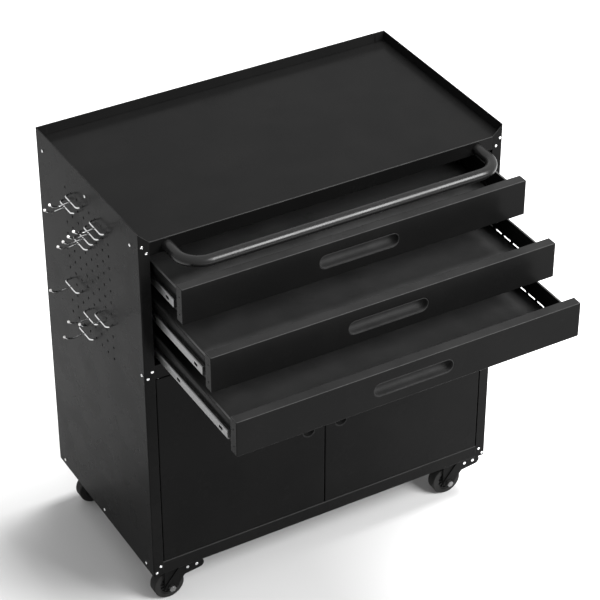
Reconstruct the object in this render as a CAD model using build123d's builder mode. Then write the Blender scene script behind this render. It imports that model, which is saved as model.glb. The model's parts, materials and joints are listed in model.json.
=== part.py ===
from build123d import *
import os

# Rolling tool chest: a folded sheet-steel cabinet with three drawers over two doors, on four casters.
# Millimetres. +X right, +Y back, +Z up; the origin is on the floor below the middle of the cabinet.

# Cabinet shell
HALF_W = 375.0          # half the cabinet's width
HALF_D = 209.2          # half its depth
BASE_Z = 95.0           # underside of the cabinet above the floor
DECK_Z = 850.0          # worktop surface
LIP_Z = 870.0           # top of the side and back panels
SHEET = 1.2             # sheet steel
BEND = 1.6              # bend radius of a fold, to the middle of the sheet
POST = 21.0             # width of the side panels' front return
FIT = 0.1               # gap between sheets that lie against each other

# Rails across the front: underside and top of each
TOP_RAIL = (821.0, DECK_Z)
MID_RAIL = (555.0, 585.5)
LOW_RAIL = (BASE_Z, 124.0)
RAIL_LIP = 14.0         # the rails' lower edge is folded back by this much

# Peg holes in the left side panel
PITCH = 25.0
PEG_COLUMNS = 8
PEG_ROWS = 12
PEG_Y = 3.1             # middle of the peg field
PEG_Z = 667.5
PEG_R = 2.75

# Drawers
DRAWER_Z = (744.5, 666.0, 587.5)        # underside of each drawer front, top drawer first
DRAWER_OPEN = (114.3, 215.1, 302.0)     # how far each one stands open at rest
FRONT_HALF_W = 352.0
FRONT_H = 73.0
FRONT_T = 20.0
SKIN = 1.5              # drawer-front and door skin
TRAY_HALF_W = 342.0
TRAY_LOW = 2.2          # tray floor above the front's lower edge
TRAY_TOP = 51.0
TRAY_LENGTH = 392.0
TRAY_WALL = 1.0
HEM_OUT = 2.0           # the rolled hem stands out from the tray's wall by this much, and in by as much
HEM_H = 11.0
TRAY_SLOTS = 10
TRAY_SLOT = (22.5, 4.5)
TRAY_SLOT_PITCH = 29.3
TRAY_SLOT_START = 104.8 # first slot behind the drawer front's face
TRAY_SLOT_Z = 9.7
TRAY_CORNER = 1.5
SIDE_HOLES_Z = (17.0, 53.0)             # holes in the ends of the drawer front
SIDE_HOLE_R = 1.5
SIDE_HOLE_IN = 9.6                      # behind the drawer front's face

# Two-part ball slides
RAIL_LENGTH = 380.0     # cabinet part
RAIL_START = 21.2       # its front end behind the cabinet's front face
RUNNER_LENGTH = 360.0   # drawer part
RUNNER_START = 19.5     # its front end behind the drawer front
SLIDE_MID = 19.3        # middle of the slide above the drawer front's lower edge
SLIDE_FACE = 354.0      # inner face of the uprights that carry the slides
RUNNER_WEB = 347.7      # middle of the drawer part's web
RUNNER_HALF = 9.2       # half the drawer part's height
RAIL_EDGE = 344.2       # inner edges of the cabinet part's flanges
GAP = 0.3               # clearance between parts that move past each other
CAGE_LENGTH = 70.0
CAGE_T = 0.8
CAGE_EDGE = 344.8
CAGE_WEB = 350.6
BALL_R = 1.0
BALL_X = 347.2
BALLS = 6
SLOT_ALONG = (24.0, 180.0, 335.0)       # screw slots in the drawer part, from its front end
SLOT_SIZE = (13.0, 6.0)

# Recessed pulls
PULL_LENGTH = 165.0     # hole in the skin
PULL_W = 28.5
PULL_DEPTH = 15.5       # depth of the cup behind the skin
PULL_RIM = 5.0          # rim against the back of the skin
PULL_COLLAR = 1.8       # collar that stands in the hole
PULL_SCOOP = 9.0        # rounding at the bottom of the cup
DRAWER_PULL_Z = 36.0    # above the drawer front's lower edge

# Doors
DOOR_IN = 1.0           # meeting edge of a door from the middle
DOOR_OUT = 352.0
DOOR_Z = (125.5, 553.0)
DOOR_T = 18.0
DOOR_LIP = 10.0         # lip folded in round the door's back
SKIN_CORNER = 2.0       # rounding of a front's corners
SKIN_EDGE = 1.4         # and of the edges round its face
HOLE_EDGE = 0.8         # and of the hole for the pull
DOOR_PULL_X = 35.6
DOOR_PULL_Z = 383.0
PIVOT_X = 346.5
PIVOT_BACK = 4.0        # pivot axis behind the door's face
PIN_R = 2.0
PIN_LENGTH = 20.0
PIN_IN = 6.0            # how far a pin stands outside the door's end
CATCH_X = (15.0, 45.0)
CATCH_Z = (538.0, 552.0)
CATCH_DEPTH = 15.0
CATCH_PLATE = 2.0

# Push handle
TUBE_R = 10.75
TUBE_WALL = 1.5
HANDLE_Z = 833.0
HANDLE_X = 320.0
HANDLE_OUT = 77.7
HANDLE_BEND = 44.0
HANDLE_BOLT = 16.0      # length of bolt inside the tube
BOLT_HEAD = (13.0, 5.3) # across flats, and height

# Casters
SWIVEL_X = 318.0
SWIVEL_Y = 166.7
TRAIL = 10.0
WHEEL_R = 31.75
TREAD_W = 21.5
TREAD_EDGE = 2.0
HUB_R = 22.0
HUB_DISH = 3.0          # rim left round the dished sides of the wheel
DISH_DEPTH = 4.5
BOSS_R = 9.0
SPOKES = 6
SPOKE_T = 2.4
LEG_END_R = 12.5
LEG_TOP = 16.0          # height of the leg's straight part below the yoke
LEG_IN = 13.5
LEG_OUT = 16.0
YOKE_Z = (78.0, 80.5)
YOKE_HALF = 22.0
RACE_R = 20.0
RACE_TOP = 86.0
RACE_GAP = 1.0
PLATE_Z = (92.4, 94.9)
PLATE_HALF = 32.0
PLATE_BOLT = 23.5
PLATE_BOLT_R = 3.0
PLATE_HOLE_R = 3.25
PLATE_HEAD = (10.0, 4.0)                # across flats, and height
KING_R = 5.0
KING_Z = (73.6, 77.6)                   # head of the kingpin, under the yoke
AXLE_R = 4.0
AXLE_HEAD = (12.0, 5.0)
AXLE_NUT = (12.0, 7.0)
AXLE_END = 0.6          # thread beyond the nut
RUNNING = 0.05          # radial clearance of a turning fit
CHANNEL_HALF = 35.0
CHANNEL_T = 2.0
CHANNEL_END = 190.0

# Brake levers: the arm's outline is drawn round these circles, placed from the axle
LEVER_T = 2.5
LEVER_EYE = 12.0
LEVER_KNEE = (24.0, 30.7, 11.5)         # x, z and radius
LEVER_END = (61.5, 34.2, 10.4)
TREAD_X = (44.0, 60.0)                  # foot tread, folded over the wheel
TREAD_DROP = 2.5                        # its top below the arm's highest point
RIVET_X = (36.0, 55.6)
RIVET_Z = 36.0
RIVET_R = 2.0
RIVET_HEAD = (3.2, 1.2)                 # radius and height

FRONT = -HALF_D
CORNER = HALF_W - SHEET / 2

os.makedirs("parts", exist_ok=True)


def save(piece, name):
    """Label a finished piece and write it."""
    piece.part.label = name
    export_step(piece.part, f"parts/{name}.step")


def slab(x, y, z, mode=Mode.ADD):
    """A block between three pairs of limits."""
    with Locations((sum(x) / 2, sum(y) / 2, sum(z) / 2)):
        Box(abs(x[1] - x[0]), abs(y[1] - y[0]), abs(z[1] - z[0]), mode=mode)


def rod(centre, radius, length, turn=(0, 0, 0), mode=Mode.ADD):
    """A round bar about its middle, upright unless turned."""
    with Locations(Location(centre, turn)):
        Cylinder(radius, length, mode=mode)


def hexagon(centre, across, length, turn=(0, 0, 0)):
    """A hexagonal head or nut; its size is measured across the flats."""
    with BuildSketch(Plane(Location(centre, turn))) as outline:
        RegularPolygon(across / 2, 6, major_radius=False)
    extrude(outline.sketch, amount=length / 2, both=True)


def fold(points, plane, length, thickness=SHEET, radius=BEND):
    """A sheet bent along a centre line and extruded along the plane's normal."""
    with BuildSketch(plane) as section:
        with BuildLine():
            FilletPolyline(*points, radius=radius)
        trace(line_width=thickness)
    extrude(section.sketch, amount=length)


def stadium(x, y_back, z, length, width, depth, upright=False, mode=Mode.ADD):
    """A long round-ended block, from y_back forward by depth."""
    with BuildSketch(Plane.XZ.offset(-y_back)) as outline:
        with Locations((x, z)):
            SlotOverall(length, width, rotation=90 if upright else 0)
    extrude(outline.sketch, amount=depth, mode=mode)


ALONG_X = (0, 90, 0)
ALONG_Y = (90, 0, 0)

# Screw places: on the front posts (x, z), on the side panels (y, z), and on the back panel (x, z)
SCREW_R = 2.0
SCREW_HOLE_R = 2.1
SCREW_LENGTH = 4.0
SCREW_HEAD = (3.0, 2.0, 1.2)            # radius, height and rounding
SCREW_CROSS = (3.6, 0.8, 0.8)           # length, width and depth of the cross
POST_SCREWS = [
    (369.0, 843.7), (360.6, 828.8), (368.4, 562.3), (359.5, 575.0), (368.5, 103.0), (360.0, 116.0),
]
SIDE_SCREWS = [
    (183.7, 832.8), (3.5, 832.7), (-176.6, 832.7), (-200.7, 567.9),
    (181.3, 109.0), (1.5, 109.0), (-179.3, 109.0),
]
BACK_SCREWS = [(side * 364.0, z) for side in (-1, 1) for z in (120.0, 300.0, 480.0, 660.0, 835.0)]


def cut_post_screws(side):
    """Clearance holes for the screws of one front post."""
    for x, z in POST_SCREWS:
        rod((side * x, FRONT, z), SCREW_HOLE_R, 8 * SHEET, ALONG_Y, Mode.SUBTRACT)


def cut_side_screws(side):
    """Clearance holes for the screws of one side panel."""
    for y, z in SIDE_SCREWS:
        rod((side * HALF_W, y, z), SCREW_HOLE_R, 8 * SHEET, ALONG_X, Mode.SUBTRACT)


def cut_pegs():
    """The peg field, through the left side panel and what lies against it."""
    with BuildSketch(Plane.YZ.offset(-HALF_W - SHEET)) as pegs:
        with Locations((PEG_Y, PEG_Z)):
            with GridLocations(PITCH, PITCH, PEG_COLUMNS, PEG_ROWS):
                Circle(PEG_R)
    extrude(pegs.sketch, amount=4 * SHEET, mode=Mode.SUBTRACT)


def cut_back_screws():
    """Clearance holes for the screws of the back panel."""
    for x, z in BACK_SCREWS:
        rod((x, HALF_D, z), SCREW_HOLE_R, 8 * SHEET, ALONG_Y, Mode.SUBTRACT)


# Side panels: one sheet each, returned inward at the front as a post and at the back as a flange.
# The post's top is cut off at a slant, from the lip down to the worktop.
for side, name in ((-1, "side_panel_left"), (1, "side_panel_right")):
    post_edge = HALF_W - POST
    back_flange = HALF_D - 1.5 * SHEET
    outline = [
        (side * post_edge, FRONT + SHEET / 2),
        (side * CORNER, FRONT + SHEET / 2),
        (side * CORNER, back_flange),
        (side * post_edge, back_flange),
    ]
    with BuildPart() as side_panel:
        fold(outline, Plane.XY.offset(BASE_Z), LIP_Z - BASE_Z)
        with BuildSketch(Plane.XZ.offset(HALF_D - 5 * SHEET)) as slant:
            with BuildLine():
                Polyline(
                    (side * HALF_W, LIP_Z), (side * post_edge, DECK_Z),
                    (side * (post_edge - POST), DECK_Z), (side * (post_edge - POST), LIP_Z), close=True,
                )
            make_face()
        extrude(slant.sketch, amount=10 * SHEET, mode=Mode.SUBTRACT)
        cut_post_screws(side)
        cut_side_screws(side)
        cut_back_screws()
        if side < 0:
            cut_pegs()
    save(side_panel, name)

with BuildPart() as back_panel:
    slab((-HALF_W, HALF_W), (HALF_D - SHEET, HALF_D), (BASE_Z, LIP_Z))
    cut_back_screws()
save(back_panel, "back_panel")


def shelf_with_rail(rail, flange_low):
    """A full sheet whose front edge is folded down as a rail, with tabs behind the posts and side flanges."""
    low, high = rail
    inside = HALF_W - SHEET - FIT
    rear = HALF_D - 2 * SHEET - FIT
    rail_half = HALF_W - POST - 3 * FIT
    section = [
        (rear, high - SHEET / 2),
        (FRONT + SHEET / 2, high - SHEET / 2),
        (FRONT + SHEET / 2, low + SHEET / 2),
        (FRONT + RAIL_LIP, low + SHEET / 2),
    ]
    fold(section, Plane.YZ.offset(-rail_half), 2 * rail_half)
    for side in (-1, 1):
        tab_end = inside - SHEET - 2 * FIT
        deck = (high - SHEET, high)
        slab((side * (rail_half - POST), side * (inside - SHEET)), (FRONT + SHEET + FIT, rear), deck)
        slab((side * (rail_half - POST), side * inside), (FRONT + 3 * SHEET, rear - 2 * SHEET), deck)
        slab(
            (side * (rail_half - POST / 5), side * tab_end), (FRONT + SHEET, FRONT + 2 * SHEET),
            (low + 2 * SHEET, high - SHEET),
        )
        flange_y = (FRONT + 3 * SHEET, rear - 2 * SHEET)
        slab((side * (inside - SHEET), side * inside), flange_y, (flange_low, high - SHEET))
        cut_post_screws(side)
        cut_side_screws(side)


with BuildPart() as worktop:
    shelf_with_rail(TOP_RAIL, TOP_RAIL[0] + SHEET)
    for side in (-1, 1):
        rod((side * HANDLE_X, FRONT, HANDLE_Z), AXLE_R, 8 * SHEET, ALONG_Y, Mode.SUBTRACT)
save(worktop, "worktop")

with BuildPart() as divider_panel:
    shelf_with_rail(MID_RAIL, MID_RAIL[0] + 4 * SHEET)
    cut_pegs()
    for side in (-1, 1):
        rod((side * PIVOT_X, FRONT + PIVOT_BACK, MID_RAIL[0]), PIN_R + FIT, 8 * SHEET, mode=Mode.SUBTRACT)
save(divider_panel, "divider_panel")

with BuildPart() as bottom_panel:
    shelf_with_rail(LOW_RAIL, LOW_RAIL[0] + SHEET)
    for side in (-1, 1):
        rod((side * PIVOT_X, FRONT + PIVOT_BACK, LOW_RAIL[1]), PIN_R + FIT, 4 * SHEET, mode=Mode.SUBTRACT)
save(bottom_panel, "bottom_panel")

# Channels under the bottom panel that carry the casters
with BuildPart() as base_channels:
    for side in (-1, 1):
        wall = CHANNEL_HALF - CHANNEL_T / 2
        web = PLATE_Z[1] + CHANNEL_T / 2
        top = LOW_RAIL[1] - SHEET
        section = [
            (side * SWIVEL_X - wall, top), (side * SWIVEL_X - wall, web),
            (side * SWIVEL_X + wall, web), (side * SWIVEL_X + wall, top),
        ]
        fold(section, Plane.XZ.offset(-CHANNEL_END), 2 * CHANNEL_END, CHANNEL_T, 2 * CHANNEL_T)
        for end in (-1, 1):
            for dx in (-PLATE_BOLT, PLATE_BOLT):
                for dy in (-PLATE_BOLT, PLATE_BOLT):
                    spot = (side * SWIVEL_X + dx, end * SWIVEL_Y + dy, web)
                    rod(spot, PLATE_HOLE_R, 3 * CHANNEL_T, mode=Mode.SUBTRACT)
save(base_channels, "base_channels")

# Uprights behind the side panels, which carry the cabinet parts of the slides
UPRIGHTS = ((-186.0, -150.0), (120.0, 156.0))
for side, name in ((-1, "slide_uprights_left"), (1, "slide_uprights_right")):
    with BuildPart() as slide_uprights:
        for y_low, y_high in UPRIGHTS:
            inner = side * (SLIDE_FACE + SHEET / 2)
            outer = side * (HALF_W - 2 * SHEET - 3 * FIT)
            section = [
                (outer, y_low + SHEET / 2), (inner, y_low + SHEET / 2),
                (inner, y_high - SHEET / 2), (outer, y_high - SHEET / 2),
            ]
            fold(section, Plane.XY.offset(MID_RAIL[1]), DECK_Z - SHEET - MID_RAIL[1])
    save(slide_uprights, name)

# Push handle: a bent tube with plugged ends that bolt to the top rail from inside
with BuildPart() as push_handle:
    with BuildLine() as run:
        FilletPolyline(
            (-HANDLE_X, FRONT, HANDLE_Z), (-HANDLE_X, FRONT - HANDLE_OUT, HANDLE_Z),
            (HANDLE_X, FRONT - HANDLE_OUT, HANDLE_Z), (HANDLE_X, FRONT, HANDLE_Z), radius=HANDLE_BEND,
        )
    with BuildSketch(Plane(origin=(-HANDLE_X, FRONT, HANDLE_Z), z_dir=(0, -1, 0))):
        Circle(TUBE_R)
        Circle(TUBE_R - TUBE_WALL, mode=Mode.SUBTRACT)
    sweep()
    for side in (-1, 1):
        rod((side * HANDLE_X, FRONT - TUBE_R, HANDLE_Z), TUBE_R - TUBE_WALL, 2 * TUBE_R, ALONG_Y)
        rod((side * HANDLE_X, FRONT - TUBE_R, HANDLE_Z), AXLE_R, 2 * TUBE_R, ALONG_Y, Mode.SUBTRACT)
save(push_handle, "push_handle")

with BuildPart() as handle_bolts:
    across, height = BOLT_HEAD
    head = FRONT + SHEET + height / 2
    tip = FRONT - HANDLE_BOLT
    for side in (-1, 1):
        rod((side * HANDLE_X, (head + tip) / 2, HANDLE_Z), AXLE_R - FIT, head - tip, ALONG_Y)
        hexagon((side * HANDLE_X, head, HANDLE_Z), across, height, ALONG_Y)
save(handle_bolts, "handle_bolts")

# Pan-head screws
with BuildPart() as pan_screw:
    head_r, head_h, head_edge = SCREW_HEAD
    Cylinder(head_r, head_h, align=(Align.CENTER, Align.CENTER, Align.MIN))
    fillet(pan_screw.edges().group_by(Axis.Z)[-1], head_edge)
    cross_length, cross_w, cross_depth = SCREW_CROSS
    for turn in (0, 90):
        with Locations(Location((0, 0, head_h), (0, 0, turn))):
            Box(cross_length, cross_w, 2 * cross_depth, mode=Mode.SUBTRACT)
    with Locations((0, 0, -SCREW_LENGTH / 2)):
        Cylinder(SCREW_R, SCREW_LENGTH)

with BuildPart() as panel_screws:
    for side in (-1, 1):
        front_places = [Location((side * x, FRONT, z), (90, 0, 0)) for x, z in POST_SCREWS]
        side_places = [Location((side * HALF_W, y, z), (0, side * 90, 0)) for y, z in SIDE_SCREWS]
        with Locations(*front_places, *side_places):
            add(pan_screw.part)
    with Locations(*[Location((x, HALF_D, z), (-90, 0, 0)) for x, z in BACK_SCREWS]):
        add(pan_screw.part)
save(panel_screws, "panel_screws")

# Wire hooks: a bar off the panel with its ends bent back into the holes, and a prong turned up to a ball tip
WIRE_R = 1.6
BAR_OUT = 12.3          # middle of the bar from the panel
BAR_BEND = 6.0
PRONG = 53.4            # middle of the ball tip from the panel
PRONG_RISE = 5.8        # and above the holes
PRONG_LOW = (40.0, 2.2) # lowest point of the prong, from the panel and below the holes
TIP_R = 2.7
TIP_BACK = 1.2          # the wire ends this far short of the tip's middle, along and up
TIP_STRAIGHT = 3.0      # and is straight from here on
HOOK_IN = 8.0           # how far the ends of a hook stand in behind the panel
HOOK_DROP = 0.8         # the wire lies this far below the middle of its holes
HOOKS = [
    (-59.4, 805.0), (-34.4, 780.0), (-9.4, 755.0), (15.6, 730.0), (40.6, 805.0), (65.6, 780.0),
    (65.6, 605.0), (-9.4, 580.0), (-59.4, 605.0), (15.6, 530.0),
]

with BuildPart() as hook:
    hook_end = SHEET + HOOK_IN
    with BuildLine() as bar_line:
        FilletPolyline(
            (hook_end, -PITCH, -HOOK_DROP), (-BAR_OUT, -PITCH, -HOOK_DROP),
            (-BAR_OUT, PITCH, -HOOK_DROP), (hook_end, PITCH, -HOOK_DROP), radius=BAR_BEND,
        )
    with BuildSketch(Plane(origin=(hook_end, -PITCH, -HOOK_DROP), z_dir=(-1, 0, 0))):
        Circle(WIRE_R)
    sweep()
    low_x, low_z = PRONG_LOW
    straight = (TIP_STRAIGHT - PRONG, 0, PRONG_RISE - TIP_STRAIGHT)
    wire_end = (TIP_BACK - PRONG, 0, PRONG_RISE - TIP_BACK)
    with BuildLine() as prong_line:
        Spline(
            (-BAR_OUT, 0, -HOOK_DROP), (-low_x, 0, -low_z), straight, tangents=[(-1, 0, 0), (-1, 0, 1)],
        )
        Line(straight, wire_end)
    with BuildSketch(Plane(origin=(-BAR_OUT, 0, -HOOK_DROP), z_dir=(-1, 0, 0))):
        Circle(WIRE_R)
    sweep(path=prong_line.wires()[0])

with BuildPart() as hook_tip:
    with Locations((-PRONG, 0, PRONG_RISE)):
        Sphere(TIP_R, rotation=(0, 0, 90))      # turned so that its seam is clear of the bore
    with Locations(Plane(origin=wire_end, z_dir=(1, 0, -1))):
        Cylinder(WIRE_R, 2 * TIP_R, align=(Align.CENTER, Align.CENTER, Align.MIN), mode=Mode.SUBTRACT)

hook_places = [Location((-HALF_W, y, z)) for y, z in HOOKS]
with BuildPart() as peg_hooks:
    with Locations(*hook_places):
        add(hook.part)
save(peg_hooks, "peg_hooks")

with BuildPart() as hook_tips:
    with Locations(*hook_places):
        add(hook_tip.part)
save(hook_tips, "hook_tips")

# Door pins, in the bottom panel and in the middle rail's lower edge
with BuildPart() as hinge_pins:
    for side in (-1, 1):
        for z in (DOOR_Z[0] - PIN_IN + PIN_LENGTH / 2, DOOR_Z[1] + PIN_IN - PIN_LENGTH / 2):
            rod((side * PIVOT_X, FRONT + PIVOT_BACK, z), PIN_R, PIN_LENGTH)
save(hinge_pins, "hinge_pins")

# Magnetic catches, hung from the divider behind the doors' top corners
with BuildPart() as magnetic_catches:
    for side in (-1, 1):
        block_x = (side * CATCH_X[0], side * CATCH_X[1])
        block_front = FRONT + DOOR_T + GAP
        block_back = block_front + CATCH_DEPTH
        slab(block_x, (block_front, block_back), CATCH_Z)
        slab(block_x, (block_back, block_back + CATCH_PLATE), (CATCH_Z[0], MID_RAIL[1] - SHEET))
save(magnetic_catches, "magnetic_catches")


def cup(x, y_face, z, upright=False):
    """A recessed pull: a scooped cup, with a collar in the skin's hole and a rim against the skin's back."""
    back = y_face + SKIN
    mouth = (PULL_LENGTH - 2 * PULL_COLLAR, PULL_W - 2 * PULL_COLLAR)
    with BuildPart() as hollow:
        stadium(x, back + PULL_DEPTH, z, *mouth, PULL_DEPTH + FRONT_T, upright)
        fillet(hollow.faces().sort_by(Axis.Y)[-1].edges(), PULL_SCOOP)
    with BuildPart() as bowl:
        outside = (mouth[0] + 2 * SHEET, mouth[1] + 2 * SHEET)
        stadium(x, back + PULL_DEPTH + SHEET, z, *outside, PULL_DEPTH, upright)
        fillet(bowl.faces().sort_by(Axis.Y)[-1].edges(), PULL_SCOOP + SHEET)
        stadium(x, back + SHEET, z, PULL_LENGTH + 2 * PULL_RIM, PULL_W + 2 * PULL_RIM, SHEET, upright)
        stadium(x, back, z, PULL_LENGTH - 2 * GAP, PULL_W - 2 * GAP, SKIN - FIT, upright)
        add(hollow.part, mode=Mode.SUBTRACT)
        fillet(bowl.faces().sort_by(Axis.Y)[0].edges(), PULL_COLLAR / 4)
    return bowl


for number, z0, opening in zip((1, 2, 3), DRAWER_Z, DRAWER_OPEN):
    face = FRONT - opening
    back = face + FRONT_T

    # Drawer front: a box of folded sheet, open behind, with a round-ended hole for the pull
    with BuildPart() as drawer_front:
        slab((-FRONT_HALF_W, FRONT_HALF_W), (face, back), (z0, z0 + FRONT_H))
        fillet(drawer_front.edges().filter_by(Axis.Y), SKIN_CORNER)
        fillet(drawer_front.faces().sort_by(Axis.Y)[0].edges(), SKIN_EDGE)
        inner = FRONT_HALF_W - SKIN
        slab((-inner, inner), (face + SKIN, back), (z0 + SKIN, z0 + FRONT_H - SKIN), Mode.SUBTRACT)
        stadium(0, back, z0 + DRAWER_PULL_Z, PULL_LENGTH, PULL_W, 2 * FRONT_T, mode=Mode.SUBTRACT)
        rim = drawer_front.faces().sort_by(Axis.Y)[0].inner_wires()[0].edges()
        fillet(rim, HOLE_EDGE)
        for dz in SIDE_HOLES_Z:
            rod((0, face + SIDE_HOLE_IN, z0 + dz), SIDE_HOLE_R, 3 * FRONT_HALF_W, ALONG_X, Mode.SUBTRACT)
    save(drawer_front, f"drawer_{number}_front")

    save(cup(0, face, z0 + DRAWER_PULL_Z), f"drawer_{number}_pull")

    # Drawer tray: open box with a rolled hem, standing out all round, and a low row of slots in each side
    with BuildPart() as drawer_tray:
        tray_end = back + TRAY_LENGTH
        rim_z = z0 + TRAY_TOP
        slab((-TRAY_HALF_W, TRAY_HALF_W), (back, tray_end), (z0 + TRAY_LOW, rim_z))
        fillet(drawer_tray.edges().filter_by(Axis.Y).group_by(Axis.Z)[0], TRAY_CORNER)
        hem = TRAY_HALF_W + HEM_OUT
        slab((-hem, hem), (back, tray_end + HEM_OUT), (rim_z - HEM_H, rim_z))
        fillet(drawer_tray.faces().sort_by(Axis.Z)[-1].edges().filter_by(Axis.Y), HEM_OUT / 2)
        clear = TRAY_HALF_W - TRAY_WALL
        slab(
            (-clear, clear), (back + TRAY_WALL, tray_end - TRAY_WALL),
            (z0 + TRAY_LOW + TRAY_WALL, rim_z - HEM_H), Mode.SUBTRACT,
        )
        mouth = TRAY_HALF_W - HEM_OUT
        slab((-mouth, mouth), (back + HEM_OUT, tray_end - HEM_OUT), (rim_z - HEM_H, rim_z), Mode.SUBTRACT)
        with BuildSketch(Plane.YZ.offset(-2 * TRAY_HALF_W)):
            for count in range(TRAY_SLOTS):
                with Locations((face + TRAY_SLOT_START + count * TRAY_SLOT_PITCH, z0 + TRAY_SLOT_Z)):
                    SlotOverall(*TRAY_SLOT)
        extrude(amount=4 * TRAY_HALF_W, mode=Mode.SUBTRACT)
    save(drawer_tray, f"drawer_{number}_tray")

    # Slides. The drawer part is a channel against the tray, closed at its front end.
    mid = z0 + SLIDE_MID
    with BuildPart() as drawer_slides:
        start = back + RUNNER_START
        flange = RUNNER_HALF - SHEET / 2
        for side in (-1, 1):
            section = [
                (side * TRAY_HALF_W, mid - flange), (side * RUNNER_WEB, mid - flange),
                (side * RUNNER_WEB, mid + flange), (side * TRAY_HALF_W, mid + flange),
            ]
            fold(section, Plane.XZ.offset(-start - RUNNER_LENGTH), RUNNER_LENGTH)
            slab(
                (side * TRAY_HALF_W, side * RUNNER_WEB), (start, start + SHEET),
                (mid - RUNNER_HALF + SHEET, mid + RUNNER_HALF - SHEET),
            )
        with BuildSketch(Plane.YZ.offset(-2 * TRAY_HALF_W)) as slot:
            for along in SLOT_ALONG:
                with Locations((start + along, mid)):
                    SlotOverall(*SLOT_SIZE)
        extrude(slot.sketch, amount=4 * TRAY_HALF_W, mode=Mode.SUBTRACT)
    save(drawer_slides, f"drawer_{number}_slides")

    # The cabinet part is a wider channel round it, with a row of balls above and below between the two.
    ball_level = RUNNER_HALF + GAP + BALL_R
    with BuildPart() as slide_rails:
        flange = ball_level + BALL_R + GAP + SHEET / 2
        for side in (-1, 1):
            section = [
                (side * RAIL_EDGE, mid - flange), (side * (SLIDE_FACE - SHEET / 2), mid - flange),
                (side * (SLIDE_FACE - SHEET / 2), mid + flange), (side * RAIL_EDGE, mid + flange),
            ]
            fold(section, Plane.XZ.offset(-FRONT - RAIL_START - RAIL_LENGTH), RAIL_LENGTH)
    save(slide_rails, f"slide_rails_{number}")

    # The cages hold the balls, and run half as far as the drawer.
    with BuildPart() as ball_cages:
        centre = -opening / 2
        for side in (-1, 1):
            section = [
                (side * CAGE_EDGE, mid - ball_level), (side * CAGE_WEB, mid - ball_level),
                (side * CAGE_WEB, mid + ball_level), (side * CAGE_EDGE, mid + ball_level),
            ]
            fold(section, Plane.XZ.offset(-centre - CAGE_LENGTH / 2), CAGE_LENGTH, CAGE_T, CAGE_T)
            for level in (mid - ball_level, mid + ball_level):
                for count in range(BALLS):
                    along = (count + 0.5) / BALLS - 0.5
                    with Locations((side * BALL_X, centre + along * CAGE_LENGTH, level)):
                        Sphere(BALL_R)
    save(ball_cages, f"drawer_{number}_cages")

# Doors: folded pans with a lip round the back, turning on pins at the top and bottom
for side, hand in ((-1, "left"), (1, "right")):
    with BuildPart() as door_panel:
        slab((side * DOOR_IN, side * DOOR_OUT), (FRONT, FRONT + DOOR_T), DOOR_Z)
        fillet(door_panel.edges().filter_by(Axis.Y), SKIN_CORNER)
        fillet(door_panel.faces().sort_by(Axis.Y)[0].edges(), SKIN_EDGE)
        slab(
            (side * (DOOR_IN + SKIN), side * (DOOR_OUT - SKIN)), (FRONT + SKIN, FRONT + DOOR_T - SKIN),
            (DOOR_Z[0] + SKIN, DOOR_Z[1] - SKIN), Mode.SUBTRACT,
        )
        slab(
            (side * (DOOR_IN + DOOR_LIP), side * (DOOR_OUT - DOOR_LIP)),
            (FRONT + DOOR_T - SKIN, FRONT + DOOR_T),
            (DOOR_Z[0] + DOOR_LIP, DOOR_Z[1] - DOOR_LIP), Mode.SUBTRACT,
        )
        stadium(
            side * DOOR_PULL_X, FRONT + DOOR_T / 2, DOOR_PULL_Z, PULL_LENGTH, PULL_W, DOOR_T,
            upright=True, mode=Mode.SUBTRACT,
        )
        rim = door_panel.faces().sort_by(Axis.Y)[0].inner_wires()[0].edges()
        fillet(rim, HOLE_EDGE)
        for z in DOOR_Z:
            rod((side * PIVOT_X, FRONT + PIVOT_BACK, z), PIN_R + RUNNING, 4 * SKIN, mode=Mode.SUBTRACT)
    save(door_panel, f"door_{hand}_panel")
    save(cup(side * DOOR_PULL_X, FRONT, DOOR_PULL_Z, upright=True), f"door_{hand}_pull")

# Casters
CASTERS = {
    "fl": (-SWIVEL_X, -SWIVEL_Y), "fr": (SWIVEL_X, -SWIVEL_Y),
    "rl": (-SWIVEL_X, SWIVEL_Y), "rr": (SWIVEL_X, SWIVEL_Y),
}

# Fixed parts: top plates with the upper race and the kingpin, and the bolts through plate and channel
BOLT_SPOTS = [(dx, dy) for dx in (-PLATE_BOLT, PLATE_BOLT) for dy in (-PLATE_BOLT, PLATE_BOLT)]

with BuildPart() as caster_plates:
    race_low = RACE_TOP + RACE_GAP
    for x, y in CASTERS.values():
        slab((x - PLATE_HALF, x + PLATE_HALF), (y - PLATE_HALF, y + PLATE_HALF), PLATE_Z)
        rod((x, y, (race_low + PLATE_Z[0]) / 2), RACE_R + CHANNEL_T, PLATE_Z[0] - race_low)
        rod((x, y, (KING_Z[0] + PLATE_Z[0]) / 2), KING_R, PLATE_Z[0] - KING_Z[0])
        rod((x, y, sum(KING_Z) / 2), 2 * KING_R, KING_Z[1] - KING_Z[0])
        for dx, dy in BOLT_SPOTS:
            rod((x + dx, y + dy, PLATE_Z[0]), PLATE_HOLE_R, 4 * CHANNEL_T, mode=Mode.SUBTRACT)
save(caster_plates, "caster_plates")

with BuildPart() as caster_bolts:
    across, height = PLATE_HEAD
    nut_low = PLATE_Z[1] + CHANNEL_T
    for x, y in CASTERS.values():
        for dx, dy in BOLT_SPOTS:
            low = PLATE_Z[0] - height
            high = nut_low + 1.5 * height
            rod((x + dx, y + dy, (low + high) / 2), PLATE_BOLT_R, high - low)
            hexagon((x + dx, y + dy, PLATE_Z[0] - height / 2), across, height)
            hexagon((x + dx, y + dy, nut_low + height / 2), across, height)
save(caster_bolts, "caster_bolts")

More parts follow.
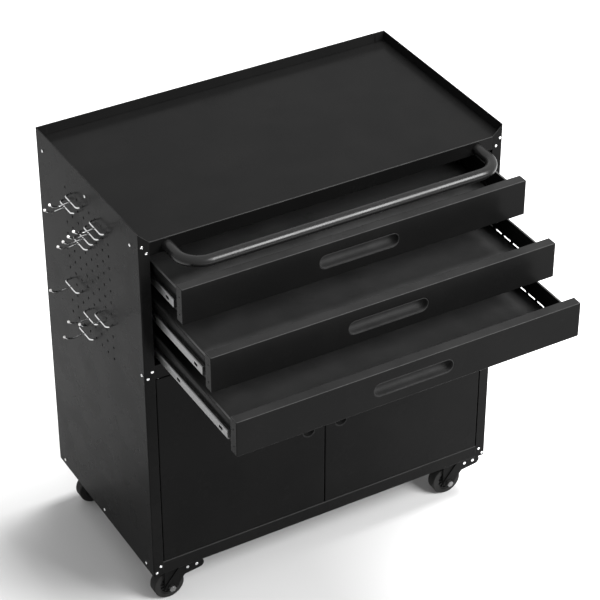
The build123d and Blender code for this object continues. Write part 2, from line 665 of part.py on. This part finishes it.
for code, (x, y) in CASTERS.items():
    axle_x = x - TRAIL
    braked = code in ("fl", "fr")
    lever_y = y - LEG_OUT - GAP

    with BuildPart() as fork:
        for near in (LEG_OUT, -LEG_IN):
            with BuildSketch(Plane.XZ.offset(-y - near)) as leg:
                with Locations((axle_x, WHEEL_R)):
                    Circle(LEG_END_R)
                with Locations((x, YOKE_Z[1] - LEG_TOP / 2)):
                    Rectangle(2 * YOKE_HALF, LEG_TOP)
                make_hull()
            extrude(leg.sketch, amount=LEG_OUT - LEG_IN)
        slab((x - YOKE_HALF, x + YOKE_HALF), (y - LEG_OUT, y + LEG_OUT), YOKE_Z)
        fillet(fork.edges().filter_by(Axis.X).group_by(Axis.Z)[-1], SKIN_CORNER)
        rod((x, y, (YOKE_Z[1] + RACE_TOP) / 2), RACE_R, RACE_TOP - YOKE_Z[1])
        fillet(fork.faces().sort_by(Axis.Z)[-1].edges(), SKIN_EDGE)
        rod((x, y, YOKE_Z[1]), KING_R + RUNNING, 6 * KING_R, mode=Mode.SUBTRACT)
        rod((axle_x, y, WHEEL_R), AXLE_R + RUNNING, 4 * LEG_OUT, ALONG_Y, Mode.SUBTRACT)
    save(fork, f"caster_{code}_fork")

    # The axle is a bolt; on a braked caster it is long enough to carry the lever as well
    with BuildPart() as axle:
        across, head_t = AXLE_HEAD
        nut_across, nut_t = AXLE_NUT
        nut = LEG_OUT + GAP + (LEVER_T + 2 * GAP if braked else 0)
        tip = nut + nut_t + AXLE_END
        head_end = LEG_OUT + GAP + head_t
        rod((axle_x, y + (head_end - tip) / 2, WHEEL_R), AXLE_R, head_end + tip, ALONG_Y)
        hexagon((axle_x, y + head_end - head_t / 2, WHEEL_R), across, head_t, ALONG_Y)
        hexagon((axle_x, y - nut - nut_t / 2, WHEEL_R), nut_across, nut_t, ALONG_Y)
    save(axle, f"caster_{code}_axle")

    with BuildPart() as wheel:
        rod((axle_x, y, WHEEL_R), HUB_R, TREAD_W - 2 * RACE_GAP, ALONG_Y)
        for end in (-1, 1):
            dish = (axle_x, y + end * TREAD_W / 2, WHEEL_R)
            rod(dish, HUB_R - HUB_DISH, 2 * DISH_DEPTH, ALONG_Y, Mode.SUBTRACT)
        rod((axle_x, y, WHEEL_R), BOSS_R, 2 * (LEG_IN - GAP), ALONG_Y)
        for spoke in range(SPOKES):
            with Locations(Location((axle_x, y, WHEEL_R), (0, spoke * 180 / SPOKES, 0))):
                Box(2 * (HUB_R - HUB_DISH / 2), TREAD_W - DISH_DEPTH, SPOKE_T)
        rod((axle_x, y, WHEEL_R), AXLE_R + RUNNING, 4 * LEG_OUT, ALONG_Y, Mode.SUBTRACT)
    save(wheel, f"caster_{code}_wheel")

    with BuildPart() as tyre:
        rod((axle_x, y, WHEEL_R), WHEEL_R, TREAD_W, ALONG_Y)
        fillet(tyre.edges().filter_by(GeomType.CIRCLE), TREAD_EDGE)
        rod((axle_x, y, WHEEL_R), HUB_R, 2 * TREAD_W, ALONG_Y, Mode.SUBTRACT)
    save(tyre, f"caster_{code}_tyre")

    if not braked:
        continue

    # Foot lever on the axle, outside the front leg, with a tread folded over the wheel
    knee_x, knee_z, knee_r = LEVER_KNEE
    end_x, end_z, end_r = LEVER_END
    with BuildPart() as brake:
        with BuildSketch(Plane.XZ.offset(-lever_y)) as arm:
            with Locations((axle_x, WHEEL_R)):
                Circle(LEVER_EYE)
            with Locations((axle_x + knee_x, WHEEL_R + knee_z)):
                Circle(knee_r)
            make_hull()
        with BuildSketch(Plane.XZ.offset(-lever_y)) as toe:
            with Locations((axle_x + knee_x, WHEEL_R + knee_z)):
                Circle(knee_r)
            with Locations((axle_x + end_x, WHEEL_R + end_z)):
                Circle(end_r)
            make_hull()
        extrude(arm.sketch, amount=LEVER_T)
        extrude(toe.sketch, amount=LEVER_T)
        tread_z = WHEEL_R + end_z + end_r - TREAD_DROP
        slab(
            (axle_x + TREAD_X[0], axle_x + TREAD_X[1]), (lever_y - LEVER_T / 2, y + LEG_IN),
            (tread_z - LEVER_T, tread_z),
        )
        rod((axle_x, lever_y, WHEEL_R), AXLE_R + RUNNING, 4 * LEVER_T, ALONG_Y, Mode.SUBTRACT)
        for dx in RIVET_X:
            spot = (axle_x + dx, lever_y, WHEEL_R + RIVET_Z)
            rod(spot, RIVET_R + RUNNING, 4 * LEVER_T, ALONG_Y, Mode.SUBTRACT)
    save(brake, f"caster_{code}_brake")

    with BuildPart() as rivets:
        head_r, head_h = RIVET_HEAD
        middle = lever_y - LEVER_T / 2
        for dx in RIVET_X:
            rod((axle_x + dx, middle, WHEEL_R + RIVET_Z), RIVET_R, LEVER_T + 2 * head_h, ALONG_Y)
            rod((axle_x + dx, lever_y - LEVER_T - head_h / 2, WHEEL_R + RIVET_Z), head_r, head_h, ALONG_Y)
            rod((axle_x + dx, lever_y + head_h / 2, WHEEL_R + RIVET_Z), head_r, head_h, ALONG_Y)
    save(rivets, f"caster_{code}_rivets")
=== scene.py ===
import bpy
import json
from math import radians
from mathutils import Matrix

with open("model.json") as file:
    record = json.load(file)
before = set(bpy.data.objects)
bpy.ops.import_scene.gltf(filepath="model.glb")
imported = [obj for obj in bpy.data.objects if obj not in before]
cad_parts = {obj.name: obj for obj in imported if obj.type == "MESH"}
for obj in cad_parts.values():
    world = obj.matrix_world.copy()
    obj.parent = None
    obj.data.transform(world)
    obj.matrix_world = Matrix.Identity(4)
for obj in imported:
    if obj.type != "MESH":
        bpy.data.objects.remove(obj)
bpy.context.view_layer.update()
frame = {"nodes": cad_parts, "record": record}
nodes = frame["nodes"]

# ---------------------------------------------------------------- camera, at the photograph's angle
CAMERA_PLACE = (-1.770, -3.193, 3.024)
CAMERA_DOWN = 34.875     # degrees below level
CAMERA_ROUND = 29.88     # degrees round from straight ahead, towards the left side
LENS = 138.1             # millimetres, on the sensor below
SENSOR_WIDTH = 36.0

camera_data = bpy.data.cameras.new("camera")
camera_data.lens = LENS
camera_data.sensor_width = SENSOR_WIDTH
camera = bpy.data.objects.new("camera", camera_data)
camera.location = CAMERA_PLACE
camera.rotation_euler = (radians(90 - CAMERA_DOWN), 0, radians(-CAMERA_ROUND))
bpy.context.scene.collection.objects.link(camera)
bpy.context.scene.camera = camera


# ---------------------------------------------------------------- material helpers
# A colour mix node's sockets go by number, because its other data types use the same names
MIX_FACTOR, MIX_FIRST, MIX_SECOND, MIX_RESULT = 0, 6, 7, 2


class Nodes:
    """Adds shader nodes to one material and links them."""

    def __init__(self, name):
        self.material = bpy.data.materials.new(name)
        self.material.use_nodes = True
        self.tree = self.material.node_tree
        self.shader = self.tree.nodes["Principled BSDF"]
        self.place = self.add("ShaderNodeTexCoord").outputs["Object"]

    def add(self, kind, inputs=None, **settings):
        """A node of that kind.

        inputs holds values and sockets by input name or number; settings are the node's properties.
        """
        node = self.tree.nodes.new(kind)
        for key, value in settings.items():
            setattr(node, key, value)
        for key, value in (inputs or {}).items():
            self.feed(node.inputs[key], value)
        return node

    def feed(self, socket, value):
        """Link value to socket if it comes from another node, or else set it there."""
        if isinstance(value, bpy.types.NodeSocket):
            self.tree.links.new(value, socket)
        else:
            socket.default_value = value

    def stretched(self, scale):
        """Object coordinates, stretched by scale along each axis."""
        return self.add("ShaderNodeMapping", {"Vector": self.place, "Scale": scale}).outputs["Vector"]

    def noise(self, scale, detail=2.0, roughness=0.5, stretch=(1, 1, 1)):
        """Noise from 0 to 1 with scale bumps a metre."""
        inputs = {"Vector": self.stretched(stretch), "Scale": scale}
        inputs.update({"Detail": detail, "Roughness": roughness})
        return self.add("ShaderNodeTexNoise", inputs).outputs["Fac"]

    def remap(self, value, low, high, to_low, to_high):
        """value, carried from one range to another and held inside it."""
        inputs = {"Value": value, "From Min": low, "From Max": high, "To Min": to_low, "To Max": to_high}
        return self.add("ShaderNodeMapRange", inputs).outputs["Result"]

    def mix(self, factor, first, second):
        """Two colours mixed by factor."""
        inputs = {MIX_FACTOR: factor, MIX_FIRST: first, MIX_SECOND: second}
        return self.add("ShaderNodeMix", inputs, data_type="RGBA").outputs[MIX_RESULT]

    def math(self, operation, first, second):
        """One sum on two values."""
        return self.add("ShaderNodeMath", {0: first, 1: second}, operation=operation).outputs[0]

    def edges(self, radius):
        """How close a point is to an outer or inner edge, 0 to 1, and the normal of the rounded edge."""
        rounded = self.add("ShaderNodeBevel", {"Radius": radius}, samples=6).outputs["Normal"]
        flat = self.add("ShaderNodeNewGeometry").outputs["Normal"]
        dot = self.add("ShaderNodeVectorMath", {0: rounded, 1: flat}, operation="DOT_PRODUCT")
        return self.remap(dot.outputs["Value"], 0.99, 0.75, 0.0, 1.0), rounded

    def facing_up(self):
        """Two masks from the object's own normal: faces that look straight up, and folds half turned up."""
        normal = self.add("ShaderNodeTexCoord").outputs["Normal"]
        rise = self.add("ShaderNodeSeparateXYZ", {"Vector": normal}).outputs["Z"]
        flat = self.remap(rise, 0.92, 0.98, 0.0, 1.0)
        turned = self.remap(rise, 0.15, 0.40, 0.0, 1.0)
        return flat, self.math("SUBTRACT", turned, flat)

    def bump(self, height, distance, strength=1.0, normal=None):
        """A bump of that height in metres, on top of normal."""
        inputs = {"Height": height, "Distance": distance, "Strength": strength}
        if normal is not None:
            inputs["Normal"] = normal
        return self.add("ShaderNodeBump", inputs).outputs["Normal"]

    def set(self, **values):
        """Values or sockets for the shader, with _ for a space in the socket's name."""
        for key, value in values.items():
            self.feed(self.shader.inputs[key.replace("_", " ")], value)


def grey(level, warm=0.0):
    """A grey colour, slightly warm or cool."""
    return (level * (1 + warm), level, level * (1 - warm), 1.0)


# ---------------------------------------------------------------- materials
COAT_ROUND = 0.0011      # reach of the edges on powder coat that are lightened, partly as abraded coat and partly as a painted highlight
PLATE_ROUND = 0.0004
MOULD_ROUND = 0.0005
WEAR_AND_PAINTED_LIGHT_LEVEL = 9.0         # lighter coat, times the coat's own level: abraded and highlighted edges, painted highlights on folds, painted light on top faces


def powder_coat(name, level, roughness, peel, edge_wear_and_highlight=0.5, sheen=0.25, painted_top_light=0.0, painted_fold_highlight=0.0):
    """Black powder coat with orange peel and smudges.

    peel is the height of the orange peel in metres. The edge amount lightens edges, partly as abraded coat
    and partly as a painted highlight; the fold amount paints a highlight on folds half turned up, and the
    top amount paints the faces that look straight up lighter, as painted light from above, in patches.
    """
    m = Nodes(name)
    edge, rounded = m.edges(COAT_ROUND)
    smudge = m.noise(9.0, 4.0, 0.6)
    speckle = m.noise(2600.0, 1.0)
    wear_and_highlight_patches = m.noise(60.0, 6.0, 0.7)
    # edges lightened, partly as abraded coat and partly as a painted highlight along the rounded edges
    wear_and_painted_light = m.math("MULTIPLY", edge, m.remap(wear_and_highlight_patches, 0.42, 0.62, 0.0, edge_wear_and_highlight))
    base = m.mix(m.remap(speckle, 0.3, 0.7, 0.0, 1.0), grey(level * 0.82), grey(level * 1.18))
    base = m.mix(m.remap(smudge, 0.4, 0.7, 0.0, 0.35), base, grey(level * 1.5, 0.02))
    flat, turned = m.facing_up()
    # a painted highlight on folds half turned up, and painted light from above on faces that look straight
    # up, both in patches
    for mask, pattern, amount in ((turned, wear_and_highlight_patches, painted_fold_highlight), (flat, smudge, painted_top_light)):
        patchy = m.remap(pattern, 0.3, 0.7, 0.7 * amount, 1.3 * amount)
        wear_and_painted_light = m.math("MAXIMUM", wear_and_painted_light, m.math("MULTIPLY", mask, patchy))
    m.set(Base_Color=m.mix(wear_and_painted_light, base, grey(level * WEAR_AND_PAINTED_LIGHT_LEVEL)))
    rough = m.remap(m.noise(14.0, 5.0, 0.6), 0.3, 0.7, roughness - 0.05, roughness + 0.07)
    m.set(Roughness=rough, IOR=1.5, Specular_IOR_Level=sheen)
    m.set(Normal=m.bump(m.noise(520.0, 2.0), peel, 0.5, rounded))
    return m.material


def plated_steel(name, level, roughness, along):
    """Zinc or bright plate: fine rolling lines along one axis, or none, and cloudy patches."""
    m = Nodes(name)
    _, rounded = m.edges(PLATE_ROUND)
    stretch = [1.0, 1.0, 1.0]
    if along is not None:
        stretch[along] = 0.03
    lines = m.noise(900.0, 3.0, 0.6, stretch)
    cloud = m.noise(45.0, 4.0, 0.55)
    dull, bright = grey(level * 0.86, -0.012), grey(level * 1.1, 0.006)
    base = m.mix(m.remap(cloud, 0.3, 0.7, 0.0, 1.0), dull, bright)
    m.set(Base_Color=m.mix(m.remap(lines, 0.25, 0.75, 0.0, 0.3), base, grey(level * 0.7)))
    m.set(Metallic=1.0, Roughness=m.remap(cloud, 0.3, 0.7, roughness - 0.05, roughness + 0.08))
    m.set(Normal=m.bump(lines, 0.00003, 0.5, rounded))
    return m.material


def chrome_wire(name):
    """Bright chrome, with the slight waviness of plated wire."""
    m = Nodes(name)
    wave = m.noise(260.0, 2.0)
    m.set(Base_Color=m.mix(m.noise(120.0, 3.0), grey(0.74, -0.01), grey(0.86)), Metallic=1.0)
    m.set(Roughness=m.remap(m.noise(420.0, 3.0), 0.3, 0.7, 0.07, 0.17))
    m.set(Normal=m.bump(wave, 0.00004, 0.4))
    return m.material


def moulded(name, level, roughness, grain, depth, warm=0.0, coat=0.0, sheen=0.5):
    """Moulded plastic or rubber, with an even grain and slight shade changes."""
    m = Nodes(name)
    _, rounded = m.edges(MOULD_ROUND)
    shade = m.noise(30.0, 4.0, 0.6)
    base = m.mix(m.remap(shade, 0.3, 0.7, 0.0, 1.0), grey(level * 0.85, warm), grey(level * 1.2, warm))
    m.set(Base_Color=base)
    m.set(Roughness=m.remap(m.noise(80.0, 4.0), 0.3, 0.7, roughness - 0.06, roughness + 0.06))
    m.set(Coat_Weight=coat, Coat_Roughness=0.12, Specular_IOR_Level=sheen)
    m.set(Normal=m.bump(m.noise(grain, 3.0, 0.6), depth, 0.6, rounded))
    return m.material


# The coats' last numbers paint a highlight on half-turned-up folds and painted light on up-facing faces.
SLOT_MATERIALS = {
    "cabinet_steel": powder_coat("cabinet_steel", 0.0068, 0.26, 0.00008, 0.5, 0.02, painted_fold_highlight=0.35),
    "front_steel": powder_coat("front_steel", 0.005, 0.24, 0.00008, 0.5, 0.03, painted_top_light=0.13, painted_fold_highlight=0.5),
    "worktop_steel": powder_coat("worktop_steel", 0.0035, 0.22, 0.00006, 0.3, 0.05, painted_fold_highlight=0.3),
    "handle_tube": powder_coat("handle_tube", 0.005, 0.26, 0.00004, 0.2, 0.32),
    "zinc": plated_steel("zinc", 0.22, 0.34, 1),
    "screws": plated_steel("screws", 0.80, 0.22, None),
    "rivets": plated_steel("rivets", 0.80, 0.22, None),
    "hook_wire": chrome_wire("hook_wire"),
    "hook_tips": moulded("hook_tips", 0.82, 0.30, 900.0, 0.00002, 0.01, 0.4),
    "catch_plastic": moulded("catch_plastic", 0.04, 0.55, 1500.0, 0.00005),
    "pull_plastic": moulded("pull_plastic", 0.021, 0.60, 1500.0, 0.00006, sheen=0.06),
    "caster_steel": powder_coat("caster_steel", 0.006, 0.38, 0.00008, 0.3, 0.03),
    "wheel_plastic": moulded("wheel_plastic", 0.012, 0.50, 1200.0, 0.00005, sheen=0.2),
    "tyre_rubber": moulded("tyre_rubber", 0.012, 0.74, 700.0, 0.00012, 0.02, sheen=0.2),
}

# The drawer trays have their own coat, with more painted light on their up-facing faces than the rest of
# their slot
TRAY_MATERIAL = powder_coat("tray_steel", 0.0068, 0.30, 0.00008, 0.4, 0.02, painted_top_light=0.45, painted_fold_highlight=0.3)

for subpart in frame["record"]["subparts"]:
    node = subpart["node"]
    material = SLOT_MATERIALS[subpart["material_slot"]]
    if node.endswith("_tray"):
        material = TRAY_MATERIAL
    mesh = nodes[node].data
    mesh.materials.clear()
    mesh.materials.append(material)


# ---------------------------------------------------------------- floor
def floor_material():
    """Plain pale floor with the faintest mottling."""
    m = Nodes("floor")
    m.set(Base_Color=m.mix(m.noise(1.5, 3.0), grey(0.60), grey(0.62)))
    m.set(Roughness=0.75, Specular_IOR_Level=0.15)
    return m.material


FLOOR_HALF = 30.0
floor_mesh = bpy.data.meshes.new("floor")
corners = [(x * FLOOR_HALF, y * FLOOR_HALF, 0) for x, y in ((-1, -1), (1, -1), (1, 1), (-1, 1))]
floor_mesh.from_pydata(corners, [], [(0, 1, 2, 3)])
floor_mesh.materials.append(floor_material())
floor = bpy.data.objects.new("floor", floor_mesh)
bpy.context.scene.collection.objects.link(floor)


# ---------------------------------------------------------------- light
def softbox(name, place, turn, size, power, glossy=True):
    """A large area light; turn is its rotation in degrees, and unturned it shines straight down.

    glossy says whether shiny surfaces show its reflection.
    """
    data = bpy.data.lights.new(name, "AREA")
    data.shape = "RECTANGLE"
    data.size, data.size_y = size
    data.energy = power
    light = bpy.data.objects.new(name, data)
    light.location = place
    light.rotation_euler = [radians(a) for a in turn]
    light.visible_glossy = glossy
    bpy.context.scene.collection.objects.link(light)


softbox("front", (1.45, -2.5, 2.5), (55, 0, 30), (1.6, 1.8), 190.0)
softbox("top", (1.0, 0.1, 3.3), (0, 20, 0), (2.0, 2.0), 300.0, glossy=False)

WORLD_STRENGTH = 0.75
world = bpy.data.worlds.new("world")
world.use_nodes = True
background = world.node_tree.nodes["Background"]
background.inputs["Color"].default_value = grey(1.0)
background.inputs["Strength"].default_value = WORLD_STRENGTH
bpy.context.scene.world = world
bpy.context.scene.view_settings.view_transform = "Standard"
